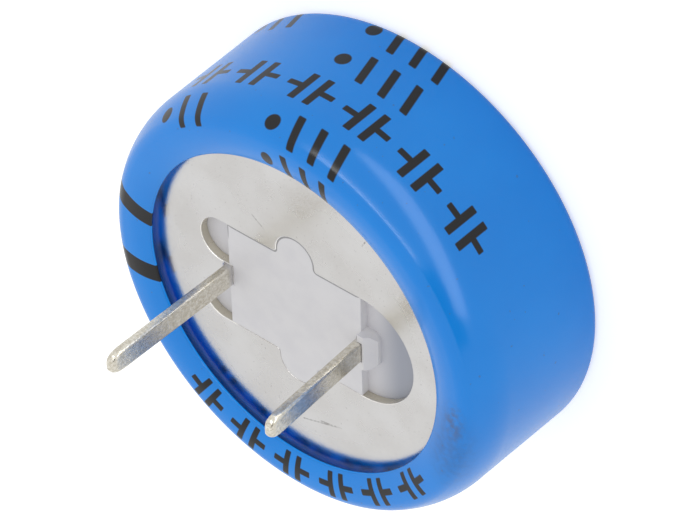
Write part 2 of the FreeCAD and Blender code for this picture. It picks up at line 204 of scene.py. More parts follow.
def newGroup(name, inputs, output):
    # inputs named in a line, vectors before the bar and numbers after it; one number comes out
    group = bpy.data.node_groups.new(name, "ShaderNodeTree")
    vectors, numbers = inputs.split("|")
    for kind, labels in (("NodeSocketVector", vectors), ("NodeSocketFloat", numbers)):
        for label in labels.split():
            group.interface.new_socket(name=label, in_out="INPUT", socket_type=kind)
    group.interface.new_socket(name=output, in_out="OUTPUT", socket_type="NodeSocketFloat")
    return group, group.nodes.new("NodeGroupInput").outputs, group.nodes.new("NodeGroupOutput").inputs


def placeGroup(tree, group, inputs):
    return put(tree, "Group", inputs, node_tree=group).outputs[0]


# shared shader groups

def makeInkBar():
    # distance in mm from a bar with round corners: how far outside the inner box, less the corner
    group, given, result = newGroup("inkBar", "Point Centre Half | Corner", "Distance")
    offset = vectorCalc(group, "SUBTRACT", given["Point"], given["Centre"])[0]
    offset = vectorCalc(group, "ABSOLUTE", offset)[0]
    offset = vectorCalc(group, "SUBTRACT", offset, given["Half"])[0]
    offset = vectorCalc(group, "MAXIMUM", offset, (0, 0, 0))[0]
    length = vectorCalc(group, "LENGTH", offset)["Value"]
    group.links.new(calc(group, "SUBTRACT", length, given["Corner"]), result["Distance"])
    return group


def inCell(group, along, pitch):
    # place inside a repeating cell, measured from the cell's middle
    start = times(group, calc(group, "FLOOR", calc(group, "DIVIDE", along, pitch)), pitch)
    return calc(group, "SUBTRACT", calc(group, "SUBTRACT", along, start), times(group, pitch, 0.5))


def pastRow(group, along, length):
    # how far a place lies past either end of a row
    fromMiddle = calc(group, "ABSOLUTE", calc(group, "MULTIPLY_ADD", length, -0.5, along))
    return calc(group, "SUBTRACT", fromMiddle, times(group, length, 0.5))


def barHalf(group, half, height, corner):
    # half sizes of an upright bar, less its corners
    tall = calc(group, "MULTIPLY_ADD", height, 0.5, -corner)
    return put(group, "CombineXYZ", {"X": half, "Y": tall}).outputs[0]


inkBar = makeInkBar()
symbol = {"plateAt": 0.53, "plateHalf": 0.17, "leadAt": 1.14, "leadHalf": (0.42, 0.13, 0), "corner": 0.08,
          "blur": 0.04}
stroke = {"half": 0.17, "corner": 0.1, "dot": 0.5, "dotAt": 0.55, "blur": 0.05}


def makeSymbolRow():
    # a row of two-plate symbols: each cell folds about its middle, so one plate and one lead serve both sides
    group, given, result = newGroup("symbolRow", "Point | Start Middle Pitch Count Height", "Mask")
    split = put(group, "SeparateXYZ", {0: given["Point"]}).outputs
    along = calc(group, "SUBTRACT", split["X"], given["Start"])
    fold = calc(group, "ABSOLUTE", inCell(group, along, given["Pitch"]))
    rise = calc(group, "SUBTRACT", split["Y"], given["Middle"])
    point = put(group, "CombineXYZ", {"X": fold, "Y": rise}).outputs[0]
    plateHalf = barHalf(group, symbol["plateHalf"], given["Height"], symbol["corner"])
    plate = placeGroup(group, inkBar, {"Point": point, "Centre": (symbol["plateAt"], 0, 0), "Half": plateHalf,
                                       "Corner": symbol["corner"]})
    lead = placeGroup(group, inkBar, {"Point": point, "Centre": (symbol["leadAt"], 0, 0),
                                      "Half": symbol["leadHalf"], "Corner": symbol["corner"]})
    overrun = pastRow(group, along, times(group, given["Pitch"], given["Count"]))
    nearest = calc(group, "MAXIMUM", calc(group, "MINIMUM", plate, lead), overrun)
    group.links.new(fade(group, nearest, symbol["blur"], -symbol["blur"]), result["Mask"])
    return group


def makeStrokeRow():
    # leaning strokes side by side, with a round dot after the last one
    group, given, result = newGroup("strokeRow", "Point | Start Middle Pitch Count Height Lean", "Mask")
    split = put(group, "SeparateXYZ", {0: given["Point"]}).outputs
    rise = calc(group, "SUBTRACT", split["Y"], given["Middle"])
    straight = calc(group, "SUBTRACT", split["X"], given["Start"])
    along = calc(group, "MULTIPLY_ADD", rise, given["Lean"], straight)
    point = put(group, "CombineXYZ", {"X": inCell(group, along, given["Pitch"]), "Y": rise}).outputs[0]
    strokeHalf = barHalf(group, stroke["half"], given["Height"], stroke["corner"])
    bar = placeGroup(group, inkBar, {"Point": point, "Centre": (0, 0, 0), "Half": strokeHalf,
                                     "Corner": stroke["corner"]})
    length = times(group, given["Pitch"], given["Count"])
    dotAlong = calc(group, "MULTIPLY_ADD", given["Pitch"], stroke["dotAt"], length)
    dotCentre = put(group, "CombineXYZ", {"X": dotAlong}).outputs[0]
    dotPoint = put(group, "CombineXYZ", {"X": straight, "Y": rise}).outputs[0]
    dot = placeGroup(group, inkBar, {"Point": dotPoint, "Centre": dotCentre, "Half": (0, 0, 0),
                                     "Corner": stroke["dot"]})
    nearest = calc(group, "MINIMUM", calc(group, "MAXIMUM", bar, pastRow(group, along, length)), dot)
    group.links.new(fade(group, nearest, stroke["blur"], -stroke["blur"]), result["Mask"])
    return group


symbolRow = makeSymbolRow()
strokeRow = makeStrokeRow()
print("shader groups made")


# heat-shrink sleeve: a turned film, open at the head and drawn over the rim

sleeve = {
    "head": 12.35, "wallFoot": 14.244, "wallTop": 14.05, "footHeight": 0.6, "wallHeight": 7.7,
    "tightRound": 1.0, "crest": (12.45, 10.7), "land": 0.15, "lip": (10.73, 10.3), "film": 0.13,
    "around": 384, "ripple": 0.012, "rippleSeed": 4, "waves": 6,
    "firstWave": 3, "waveAlong": (0.35, 0.17), "waveRise": 2,  # waves round, radians to a mm, mm to full depth
    "mapShift": 0.5, "mapReach": 100,  # degrees that the map is turned; mm of profile to one unit of the map
}


def sleeveProfile(s, inset):
    # radius and height from the head edge up the wall and over the rim to the lip; inset runs inside it
    foot = (s["wallFoot"] - s["footHeight"], s["footHeight"])
    tight = s["tightRound"]
    tightCentre = np.array([s["crest"][0], s["crest"][1] - tight])
    across, along = s["wallTop"] - tightCentre[0], tightCentre[1] - s["wallHeight"]
    # the wide round leaves the wall upright and meets the tight one without a kink
    wide = (across ** 2 + along ** 2 - tight ** 2) / (2 * (across - tight))
    wideCentre = np.array([s["wallTop"] - wide, s["wallHeight"]])
    joinTurn = np.arctan2(*(tightCentre - wideCentre)[::-1])
    run, drop = s["crest"][0] - s["land"] - s["lip"][0], s["crest"][1] - s["lip"][1]
    fall = (run ** 2 + drop ** 2) / (2 * drop)
    fallCentre = (s["crest"][0] - s["land"], s["crest"][1] - fall)
    lipTurn = np.pi - np.arccos(run / (fall - inset))
    return joinLines(
        straightLine((s["head"], inset), (foot[0], inset), 6),
        arcLine(foot, s["footHeight"] - inset, -np.pi / 2, 0, 10),
        straightLine((s["wallFoot"] - inset, s["footHeight"]), (s["wallTop"] - inset, s["wallHeight"]), 24),
        arcLine(wideCentre, wide - inset, 0, joinTurn, 22),
        arcLine(tightCentre, tight - inset, joinTurn, np.pi / 2, 18),
        arcLine(fallCentre, fall - inset, np.pi / 2, lipTurn, 18))


def makeSleeve(material):
    # the profile, outside then back inside, turned about the axis; the outside dips in by low waves
    s = sleeve
    outside, inside = sleeveProfile(s, 0), sleeveProfile(s, s["film"])
    loop = np.concatenate([outside, inside[::-1]])
    arc = alongLength(np.concatenate([loop, loop[:1]]))
    arc -= arc[np.argmin(np.linalg.norm(outside - (s["wallFoot"], s["footHeight"]), axis=1))]
    turn = np.arange(s["around"]) * 2 * np.pi / s["around"]
    waves = np.random.default_rng(s["rippleSeed"]).uniform(0, 2 * np.pi, (s["waves"], 2))
    slow, faster = s["waveAlong"]
    dip = sum(np.sin(turn[:, None] * (k + s["firstWave"]) + phase[0])
              * np.sin(arc[None, :-1] * (slow + faster * k) + phase[1])
              for k, phase in enumerate(waves)) / len(waves)
    depth = np.clip((loop[:, 1] - s["footHeight"]) / s["waveRise"], 0, 1)
    shown = (np.arange(len(loop)) < len(outside)) * depth
    radius = loop[None, :, 0] - s["ripple"] * (0.5 + 0.5 * dip) * shown
    height = np.broadcast_to(loop[None, :, 1], radius.shape)
    points = np.stack([radius * np.cos(turn)[:, None], radius * np.sin(turn)[:, None], height], -1)
    quads, corners = gridFaces(*points.shape[:2], True, True)
    loopMap = np.stack([corners[..., 0] / s["around"] - s["mapShift"] / 360,
                        arc[corners[..., 1]] / s["mapReach"]], -1)
    piece = makePiece("sleeve_film", points.reshape(-1, 3), quads.tolist(), loopMap)
    finishPiece(piece, material, "heat_shrink_sleeve")


# places on the film are degrees round and mm along the profile, spots are mm in the frame
filmLook = {
    "girth": 88.9, "blue": colour(8, 140, 236), "deepBlue": colour(6, 135, 231), "ink": colour(12, 12, 14),
    # the glow colour with its start and stop: a painted glow on the film's underside beside the lip
    "paintedGlow": colour(4, 79, 136), "paintedGlowStart": (12.56, 12.63), "paintedGlowStop": (19.0, 15.0), "lipArc": 12.69,
    "dirt": colour(74, 84, 108), "dirtShare": 0.55, "speckShare": 0.4,
    "smear": (12.25, -0.5, 10.6), "smearSize": (0.9, 1.9, 0.9), "smearGrain": (0.36, 0.66),
    "haze": (11.9, -2.9, 10.5), "hazeSize": (2.2, 4.6, 1.8), "hazeTone": colour(32, 98, 168),
    "hazeShare": 0.3, "spotEdge": (1.0, 0.2), "speckGrain": (0.765, 0.79),
    "symbolRows": ((36, 134, 6.25, 2.4), (-133, -31, 11.45, 1.8)),  # start, stop, middle, height
    "symbolCount": 6,
    "strokeRows": ((71, 9.3, 3, 2.1), (71, 11.75, 3, 1.7), (115, 9.45, 2, 2.2), (71, 3.2, 3, 2.2),
                   (72, 0.2, 3, 2.2), (116, 0.5, 2, 1.8)),  # start, middle, count, height
    "strokePitch": 1.62, "strokeLean": 0.25,
    "bars": ((170.3, 0.64), (-167.6, 0.69)), "barMiddle": 11.5, "barHalf": 1.9, "barCorner": 0.08,
    "barBlur": 0.04, "barSlant": 0.5, "slantFrom": 12, "shine": (0.17, 0.22), "specular": 0.4, "bump": 0.04,
    "noises": ((140, 4), (2600, 3), (2600, 1), (900, 3)),  # scale and detail of cloud, grime, dots and grain
}


def filmPoint(tree):
    # the map in millimetres: round the wall, and up along the profile; past the lip it folds back, as the
    # print shows through to the underside
    split = put(tree, "SeparateXYZ", {0: put(tree, "UVMap", uv_map="surfaceMap").outputs[0]}).outputs
    wallRound = times(tree, split["X"], filmLook["girth"])
    arc = times(tree, split["Y"], sleeve["mapReach"])
    past = calc(tree, "ABSOLUTE", calc(tree, "SUBTRACT", arc, filmLook["lipArc"]))
    return wallRound, calc(tree, "SUBTRACT", filmLook["lipArc"], past), arc


def degreesRound(angle):
    return angle % 360 / 360 * filmLook["girth"]


def filmInk(tree, wallRound, up):
    # rows of plain symbols and strokes, and the two slanting bars on the negative side
    look, masks = filmLook, []
    point = put(tree, "CombineXYZ", {"X": wallRound, "Y": up}).outputs[0]
    for start, stop, middle, height in look["symbolRows"]:
        count = look["symbolCount"]
        pitch = (stop - start) / 360 * look["girth"] / count
        masks.append(placeGroup(tree, symbolRow, {
            "Point": point, "Start": degreesRound(start), "Middle": middle, "Pitch": pitch, "Count": count,
            "Height": height}))
    for start, middle, count, height in look["strokeRows"]:
        masks.append(placeGroup(tree, strokeRow, {
            "Point": point, "Start": degreesRound(start), "Middle": middle, "Pitch": look["strokePitch"],
            "Count": count, "Height": height, "Lean": look["strokeLean"]}))
    slant = times(tree, calc(tree, "SUBTRACT", up, look["slantFrom"]), -look["barSlant"])
    slanted = put(tree, "CombineXYZ", {"X": calc(tree, "ADD", wallRound, slant), "Y": up}).outputs[0]
    for angle, half in look["bars"]:
        bar = placeGroup(tree, inkBar, {"Point": slanted, "Centre": (degreesRound(angle), look["barMiddle"], 0),
                                        "Half": (half, look["barHalf"], 0), "Corner": look["barCorner"]})
        masks.append(fade(tree, bar, look["barBlur"], -look["barBlur"]))
    ink = masks[0]
    for mask in masks[1:]:
        ink = calc(tree, "MAXIMUM", ink, mask)
    return ink


def spotMask(tree, place, centre, size):
    # one in the middle of an egg-shaped spot, fading to nothing at its edge
    spot = put(tree, "Mapping", {"Vector": place, "Location": [k * mm for k in centre],
                                 "Scale": [k * mm for k in size]}, vector_type="TEXTURE").outputs[0]
    return fade(tree, vectorCalc(tree, "LENGTH", spot)["Value"], *filmLook["spotEdge"])


def makeFilm():
    # glossy film with its print, a few specks, and a smudge in a haze of grime at the lower rim
    look = filmLook
    material, tree, shader = newMaterial("blueFilm")
    wallRound, up, arc = filmPoint(tree)
    ink = filmInk(tree, wallRound, up)
    place = put(tree, "TexCoord").outputs["Object"]
    cloud, grime, dots, grain = (noise(tree, place, *k) for k in look["noises"])
    blue = cloudColour(tree, cloud, look["deepBlue"], look["blue"])
    hazeDepth = calc(tree, "MULTIPLY_ADD", fade(tree, grime, cloudLow, cloudHigh), look["hazeShare"],
                     look["hazeShare"])
    haze = times(tree, spotMask(tree, place, look["haze"], look["hazeSize"]), hazeDepth)
    blue = mixColour(tree, haze, blue, look["hazeTone"])
    smear = times(tree, spotMask(tree, place, look["smear"], look["smearSize"]),
                  fade(tree, grime, *look["smearGrain"]))
    dirt = calc(tree, "MAXIMUM", times(tree, smear, look["dirtShare"]),
                times(tree, fade(tree, dots, *look["speckGrain"]), look["speckShare"]))
    blue = mixColour(tree, dirt, blue, look["dirt"])
    tree.links.new(mixColour(tree, ink, blue, look["ink"]), shader.inputs["Base Color"])
    # painted glow: the underside beside the lip emits a deep blue where no ink covers it, so the plate mirrors
    # a blue band
    through = times(tree, fade(tree, arc, *look["paintedGlowStart"]), fade(tree, arc, *look["paintedGlowStop"]))
    addPaintedGlow(tree, shader, times(tree, through, calc(tree, "SUBTRACT", 1, ink)), look["paintedGlow"])
    shader.inputs["Specular IOR Level"].default_value = look["specular"]
    tree.links.new(cloudValue(tree, cloud, *look["shine"]), shader.inputs["Roughness"])
    addBump(tree, shader, grain, look["bump"])
    return material


makeSleeve(makeFilm())
print("sleeve made")


# terminal plates: stamped discs, each with a blade folded up out of its cut-out

plates = {
    "sheet": 0.6, "bladeHalf": 0.72, "foldRound": 0.3, "rimEdge": 0.05, "dishStart": 9.2, "dishRun": 2.5,
    "bladeEdge": 0.16, "cornerShare": 0.9, "tipWide": 0.76, "tipWideStop": 0.99, "tipThin": 0.5,
    "tipThinStop": 0.999, "tipEdge": 0.19, "tipEdgeRun": 1.1,
    "slotHalf": 3.76, "slotReach": 8.58, "notch": 1.41, "notchRise": 0.29, "notchCorner": 0.23,
    "windowHalf": 1.0, "windowReach": 3.57, "fan": 0.07,
    "negative": {"top": 9.72, "radius": 12.8, "tip": 19.7, "splay": 0.33, "sway": -0.26, "edge": 0.06,
                 "fold": 5.68, "dish": 0.2},
    "positive": {"top": 8.72, "radius": 12.35, "tip": 18.15, "splay": 0.32, "sway": 0.0, "edge": 0.0,
                 "fold": 5.36, "dish": 0.0},
}
chordShares = np.array([-1, -0.94, -0.6, -0.2, 0.2, 0.6, 0.94, 1])  # lines across a blade's flat


def mirrorLine(line):
    # the same line on the other side of the pins' line, run backwards
    return (line * (1, -1))[::-1]


def notchLine(p, start, stop, inset):
    # one long side of the cut-out with its round notch, from left to right, moved inwards by the inset
    half, notch, corner = p["slotHalf"] - inset, p["notch"] - inset, p["notchCorner"] + inset
    mouth, mouthEnd = notch + corner, half + corner
    return joinLines(
        straightLine((start, half), (-mouth, half), 12),
        arcLine((-mouth, mouthEnd), corner, -np.pi / 2, 0, 8),
        arcLine((0, p["slotHalf"] + p["notchRise"]), notch, np.pi, 0, 36),
        arcLine((mouth, mouthEnd), corner, np.pi, 3 * np.pi / 2, 8),
        straightLine((mouth, half), (stop, half), 10))


def slotOutline(p, q):
    # from the tongue round a relief, along the side with its notch, and over the round end to the tongue again
    fold, half = -q["fold"], p["slotHalf"]
    relief, reliefMiddle = (half - p["bladeHalf"]) / 2, (half + p["bladeHalf"]) / 2
    endCentre = p["slotReach"] - half
    upper = joinLines(
        arcLine((fold, reliefMiddle), relief, -np.pi / 2, -3 * np.pi / 2, 36),
        notchLine(p, fold, endCentre, 0),
        arcLine((endCentre, 0), half, np.pi / 2, 0, 32))
    return joinLines(upper, mirrorLine(upper))


def windowOutline(p, q):
    # a plain rectangle, open at the tongue
    near, far, half = -q["fold"], p["windowReach"], p["windowHalf"]
    upper = joinLines(
        straightLine((near, p["bladeHalf"]), (near, half), 2),
        straightLine((near, half), (far, half), 16),
        straightLine((far, half), (far, 0), 4))
    return joinLines(upper, mirrorLine(upper))


def edgeRound(sheet, corner, steps=4):
    # depth into the metal and height, from the underside round the cut edge to the face
    turn = np.linspace(0, np.pi / 2, steps + 1)
    depth = np.concatenate([corner * (1 - np.sin(turn)), corner * (1 - np.cos(turn))])
    height = np.concatenate([corner * (1 - np.cos(turn)), sheet - corner + corner * np.sin(turn)])
    return depth, height


def rimBearings(p, q, outline, inner, root):
    # each line runs to the rim at its own bearing; beside a tongue that the cut-out's reliefs flank, the
    # bearings are spread so that none cross
    flanked = q["edge"] > 0
    middle = 0 if flanked else (outline[:, 0].min() + outline[:, 0].max()) / 2
    turn = np.arctan2(inner[:, 1], inner[:, 0] - middle)
    if flanked:
        left = np.argmin(outline[:len(outline) // 2, 0])
        turn[:left] = np.linspace(np.pi - p["fan"], turn[left], left, endpoint=False)
        turn[len(outline) - left:len(outline)] = -turn[:left][::-1]
        turn[root] = np.pi - chordShares * p["fan"]
    return np.stack([np.cos(turn), np.sin(turn)], -1)


def plateGrid(p, q, outline):
    # for each point of the outline a closed loop: up the cut edge, out over the face to the rim, down, and back
    # under the sheet; the tongue's root has no cut edge, so its faces there are left open for the blade
    sheet, edge, bottom = p["sheet"], q["edge"], q["top"] - p["sheet"]
    depth, height = edgeRound(sheet, edge)
    tangent = np.gradient(outline, axis=0)
    inward = np.stack([-tangent[:, 1], tangent[:, 0]], -1) / np.linalg.norm(tangent, axis=1)[:, None]
    # both ends of the outline lie on the tongue's root, where the blade's edge is square to the fold
    inward[0], inward[-1] = (0, -1), (0, 1)
    cut = outline[:, None] + inward[:, None] * depth[None, :, None]
    chord = np.stack([np.full(len(chordShares), -q["fold"]), chordShares * (p["bladeHalf"] - edge)], -1)
    cut = np.concatenate([cut, np.repeat(chord[:, None], len(depth), 1)])
    level = np.broadcast_to(height, cut.shape[:2]).copy()
    root = np.arange(len(cut)) >= len(outline)
    level[root] = np.where(np.arange(len(depth)) < len(depth) // 2, 0, sheet)
    rim = rimBearings(p, q, outline, cut[:, -1], root)
    # close rows at both edges of the face
    span = np.concatenate([[0.008], np.linspace(0.06, 0.94, 12), [0.992]])
    faceStop = rim * (q["radius"] - p["rimEdge"])
    face = cut[:, -1:] * (1 - span[None, :, None]) + faceStop[:, None] * span[None, :, None]
    back = cut[:, :1] * (1 - span[None, ::-1, None]) + faceStop[:, None] * span[None, ::-1, None]
    rimDepth, rimHeight = edgeRound(sheet, p["rimEdge"])
    side = rim[:, None] * (q["radius"] - rimDepth[None, ::-1, None])
    flat = np.concatenate([cut, face, side, back], 1)
    rise = np.concatenate([level, np.full(face.shape[:2], sheet),
                           np.broadcast_to(rimHeight[::-1], side.shape[:2]), np.zeros(back.shape[:2])], 1)
    # the sheet falls away a little towards its crimped rim
    outwards = (np.linalg.norm(flat, axis=-1) - p["dishStart"]) / p["dishRun"]
    fall = q["dish"] * np.clip(outwards, 0, 1) ** 2
    points = np.concatenate([flat, (rise - fall)[..., None] + bottom], -1)
    quads, corners = gridFaces(*points.shape[:2], True, True)
    atRoot = (corners[:, 0, 0] >= len(outline) - 1) & (corners[:, 0, 1] < len(depth) - 1)
    return points.reshape(-1, 3), quads[~atRoot]


def bladeGrid(p, q):
    # a round-edged strip carried round the fold and up to a domed tip
    sheet, top, fold = p["sheet"], q["top"], p["foldRound"]
    rise = q["tip"] - top - fold
    bend = np.linspace(0, np.pi / 2, 15)
    below = np.linspace(0, rise - p["tipWide"], 40)[1:]
    dome = rise - p["tipWide"] * (1 - np.sin(np.linspace(0, np.pi / 2, 17)[1:]))
    turn = np.concatenate([bend, np.full(len(below) + len(dome), np.pi / 2)])
    climb = np.concatenate([np.zeros(len(bend)), below, dome])
    left = rise - climb
    # the dome is an ellipse both ways, stopped just short of a point
    wideShare = np.clip(1 - left / p["tipWide"], 0, 1) * p["tipWideStop"]
    thinShare = np.clip(1 - left / p["tipThin"], 0, p["tipThinStop"])
    half = p["bladeHalf"] * np.sqrt(1 - wideShare ** 2)
    thick = sheet * np.sqrt(1 - thinShare ** 2)
    soft = q["edge"] + (p["bladeEdge"] - q["edge"]) * np.sin(turn) ** 2
    soft = soft + p["tipEdge"] * np.clip(1 - left / p["tipEdgeRun"], 0, 1)
    corner = np.minimum(soft, p["cornerShare"] * np.minimum(half, thick / 2))
    steps = [edgeRound(t, c) for t, c in zip(thick, corner)]
    depth = np.array([k[0] for k in steps])
    level = np.array([k[1] for k in steps]) + (sheet - thick)[:, None] / 2
    run = (half - corner)[:, None] * chordShares[None, 1:-1]
    across = np.concatenate([half[:, None] - depth, -run, depth[:, ::-1] - half[:, None], run], 1)
    lower, upper = level[:, :1], level[:, -1:]
    through = np.concatenate([level, np.repeat(upper, run.shape[1], 1), level[:, ::-1],
                              np.repeat(lower, run.shape[1], 1)], 1)
    radius = fold + sheet - through
    across = across + (q["sway"] * climb / rise)[:, None]
    lean = (q["splay"] * climb / rise)[:, None]
    x = -q["fold"] + radius * np.sin(turn)[:, None] - lean
    z = top + fold - radius * np.cos(turn)[:, None] + climb[:, None]
    points = np.stack([x, across, z], -1)
    quads = gridFaces(*points.shape[:2], False, True)[0]
    last = (len(points) - 1) * points.shape[1]
    return points.reshape(-1, 3), quads, np.arange(last, last + points.shape[1])


def makePlate(name, q, outline, side, material, node):
    # side is 1 for the plate as drawn and -1 for one turned the other way
    disc, discQuads = plateGrid(plates, q, outline)
    blade, bladeQuads, cap = bladeGrid(plates, q)
    vertices = np.concatenate([disc, blade]) * (side, 1, 1)
    faces = discQuads.tolist() + (bladeQuads + len(disc)).tolist() + [(cap + len(disc)).tolist()]
    piece = makePiece(name, vertices, faces)
    closeSeams(piece)
    finishPiece(piece, material, node)


# most pairs are the places in mm between which a mask fades; grains are ranges of noise, shine of roughness
tinLook = {
    "plate": (colour(203, 201, 199), colour(212, 211, 210)),
    "pin": (colour(198, 191, 174), colour(240, 236, 224)),
    # the near-white edge tone and the edge glow are a painted highlight along the cut-out's rounded upper edge
    "mark": colour(96, 92, 88), "edgeHighlightTone": colour(246, 243, 236), "cut": colour(214, 208, 192),
    "paintedEdgeGlow": (1, 1, 0.96, 1), "pinFoot": (9.8, 10.3), "cutTop": (9.66, 9.62), "cutFoot": (9.05, 9.1),
    "edgeTop": (9.717, 9.7), "edgeFoot": (9.64, 9.67), "edgeReach": (9.2, 9.0),
    # these set where that painted highlight is weaker, beside the pad's near side, and stronger, on the far
    # side
    "highlightLossSide": (-2.0, -2.8), "highlightLossHalf": (4.9, 4.5), "highlightLossShare": -0.9, "brightSide": (-2, 0),
    "litMore": 0.16, "litLeast": 0.04, "shine": (0.18, 0.24),
    "innerReach": (9.8, 8.8), "innerRough": 0.07, "pinRough": -0.06, "wornMetal": -0.25,
    "scratches": ((1.7, -7.86, 18, 1.5), (2.2, -7.62, 12, 0.6), (-2.66, 5.31, -35, 0.55),
                  (5.2, 8.1, 60, 0.35)),  # place, degrees turned, half length
    "scratchCorner": 0.02, "scratchWide": 0.05, "scratchGrain": (0.35, 0.6), "scratchShare": 0.6,
    "speckGrain": (0.66, 0.76), "speckShare": 0.3, "mottleRough": 0.75, "bump": 0.1,
    "cloud": (300, 5), "mottle": (5200, 4), "speck": (6500, 2),  # scale and detail of noise
}


def tinEdgeHighlight(tree, split, wide):
    # painted highlight along the rounded upper edge of the cut-out; along the near side of the pad most of it
    # is taken away
    look = tinLook
    onEdgeHighlight = times(tree, fade(tree, split["Z"], *look["edgeTop"]), fade(tree, split["Z"], *look["edgeFoot"]))
    onEdgeHighlight = times(tree, onEdgeHighlight, fade(tree, wide, *look["edgeReach"]))
    highlightLoss = times(tree, fade(tree, split["Y"], *look["highlightLossSide"]),
                 fade(tree, calc(tree, "ABSOLUTE", split["X"]), *look["highlightLossHalf"]))
    return times(tree, onEdgeHighlight, calc(tree, "MULTIPLY_ADD", highlightLoss, look["highlightLossShare"], 1))


def tinScratches(tree, flat):
    # distance in mm from the nearest scratch
    nearest = None
    for x, y, turn, half in tinLook["scratches"]:
        turned = put(tree, "VectorRotate", {"Vector": flat, "Center": (x, y, 0), "Angle": -np.radians(turn)},
                     rotation_type="Z_AXIS").outputs[0]
        away = placeGroup(tree, inkBar, {"Point": turned, "Centre": (x, y, 0), "Half": (half, 0, 0),
                                         "Corner": tinLook["scratchCorner"]})
        nearest = away if nearest is None else calc(tree, "MINIMUM", nearest, away)
    return nearest


def makeTin():
    # satin plate with a few scratches; the pins are warmer, more mottled and a little smoother
    look = tinLook
    material, tree, shader = newMaterial("satinTin")
    place, point = objectPoint(tree)
    split = put(tree, "SeparateXYZ", {0: point}).outputs
    flat = vectorCalc(tree, "MULTIPLY", point, (1, 1, 0))[0]
    wide = vectorCalc(tree, "LENGTH", flat)["Value"]
    onPin = fade(tree, split["Z"], *look["pinFoot"])
    onCut = times(tree, fade(tree, split["Z"], *look["cutTop"]), fade(tree, split["Z"], *look["cutFoot"]))
    onEdgeHighlight = tinEdgeHighlight(tree, split, wide)
    cloud = noise(tree, place, *look["cloud"])
    mottle = noise(tree, place, *look["mottle"], Roughness=look["mottleRough"])
    tone = mixColour(tree, onPin, cloudColour(tree, cloud, *look["plate"]),
                     cloudColour(tree, mottle, *look["pin"]))
    tone = mixColour(tree, onCut, tone, look["cut"])
    # painted highlight: the rounded upper edge of the cut-out is painted near white
    tone = mixColour(tree, onEdgeHighlight, tone, look["edgeHighlightTone"])
    scratch = fade(tree, tinScratches(tree, flat), look["scratchWide"], 0)
    scratch = times(tree, scratch, fade(tree, mottle, *look["scratchGrain"]))
    scratch = times(tree, scratch, calc(tree, "SUBTRACT", 1, onPin))
    specks = fade(tree, noise(tree, place, *look["speck"]), *look["speckGrain"])
    mark = calc(tree, "MAXIMUM", times(tree, scratch, look["scratchShare"]),
                times(tree, specks, look["speckShare"]))
    tree.links.new(mixColour(tree, mark, tone, look["mark"]), shader.inputs["Base Color"])
    # painted highlight: the edge glows more on the far side than on the near one
    lit = calc(tree, "MULTIPLY_ADD", fade(tree, split["Y"], *look["brightSide"]), look["litMore"],
               look["litLeast"])
    addPaintedGlow(tree, shader, times(tree, onEdgeHighlight, lit), look["paintedEdgeGlow"])
    worn = calc(tree, "MAXIMUM", onPin, onCut)
    tree.links.new(calc(tree, "MULTIPLY_ADD", worn, look["wornMetal"], 1), shader.inputs["Metallic"])
    rough = calc(tree, "MULTIPLY_ADD", fade(tree, wide, *look["innerReach"]), look["innerRough"],
                 cloudValue(tree, cloud, *look["shine"]))
    tree.links.new(calc(tree, "MULTIPLY_ADD", onPin, look["pinRough"], rough), shader.inputs["Roughness"])
    addBump(tree, shader, mottle, look["bump"])
    return material


tin = makeTin()
makePlate("negative_plate_and_pin", plates["negative"], slotOutline(plates, plates["negative"]), 1, tin,
          "negative_terminal_plate")
makePlate("positive_plate_and_pin", plates["positive"], windowOutline(plates, plates["positive"]), -1, tin,
          "positive_terminal_plate")
print("terminal plates made")


# insulator: the moulding between the plates

insulator = {
    "soft": 0.05, "fold": (-5.68, 10.02), "foldRound": 0.92, "end": -5.11, "pocket": -4.75, "half": 0.73,
    "top": 9.67, "base": 9.12, "slot": 4.43, "tail": 4.8, "fit": 0.015, "softSteps": 3, "softAngle": 35,
    "flatAngle": 1,
    # inset, height, rim
    "skin": ((0, 9.13, 1), (0, 9.67, 1), (0.015, 9.69, 1), (0.06, 9.69, 1), (0.1, 9.69, 0)),
}
plasticLook = {
    # the floor tones: painted shade on the base down in the cut-out, darker towards the positive pin
    "pad": colour(210, 209, 211), "padLow": colour(205, 204, 207), "shadedFloorNear": colour(150, 154, 166),
    "shadedFloorFar": colour(202, 201, 205), "floorShadeRun": (4.9, 7.4), "floorShadeDepth": (9.4, 9.13),
    # the joint tone and its limits: a painted shade line along the pad's far edge
    "gapShade": colour(92, 92, 94), "gapShadeShare": 0.65, "gapShadeSide": (2.5, 3.2), "gapShadeFoot": (9.6, 9.65),
    # the glow share: a painted glow that lifts the moulding's shade
    "gapShadeEnd": (4.74, 4.66), "paintedGlow": 0.1, "roughness": 0.45, "cloud": (700, 5), "bump": 0.08,
}


def makePlastic():
    # whitish moulding; painted shade darkens its base, down in the cut-out, towards the positive pin
    look = plasticLook
    material, tree, shader = newMaterial("whitePlastic")
    place, point = objectPoint(tree)
    split = put(tree, "SeparateXYZ", {0: point}).outputs
    cloud = noise(tree, place, *look["cloud"])
    pad = cloudColour(tree, cloud, look["padLow"], look["pad"])
    # painted shade on the base: lighter beside the pad, darker towards the positive pin
    base = mixColour(tree, fade(tree, split["X"], *look["floorShadeRun"]), look["shadedFloorFar"], look["shadedFloorNear"])
    tone = mixColour(tree, fade(tree, split["Z"], *look["floorShadeDepth"]), pad, base)
    # painted shade: a thin dark line where the far side of the pad meets the plate
    rim = put(tree, "Attribute", attribute_name="rim").outputs["Fac"]
    side = times(tree, fade(tree, split["Y"], *look["gapShadeSide"]), fade(tree, split["Z"], *look["gapShadeFoot"]))
    side = times(tree, side, fade(tree, split["X"], *look["gapShadeEnd"]))
    tone = mixColour(tree, times(tree, times(tree, rim, look["gapShadeShare"]), side), tone, look["gapShade"])
    tree.links.new(tone, shader.inputs["Base Color"])
    # painted glow: the moulding emits a little of its own tone, lifting its shaded walls as light wandering
    # through it would
    addPaintedGlow(tree, shader, look["paintedGlow"], tone)
    shader.inputs["Roughness"].default_value = look["roughness"]
    addBump(tree, shader, cloud, look["bump"])
    return material


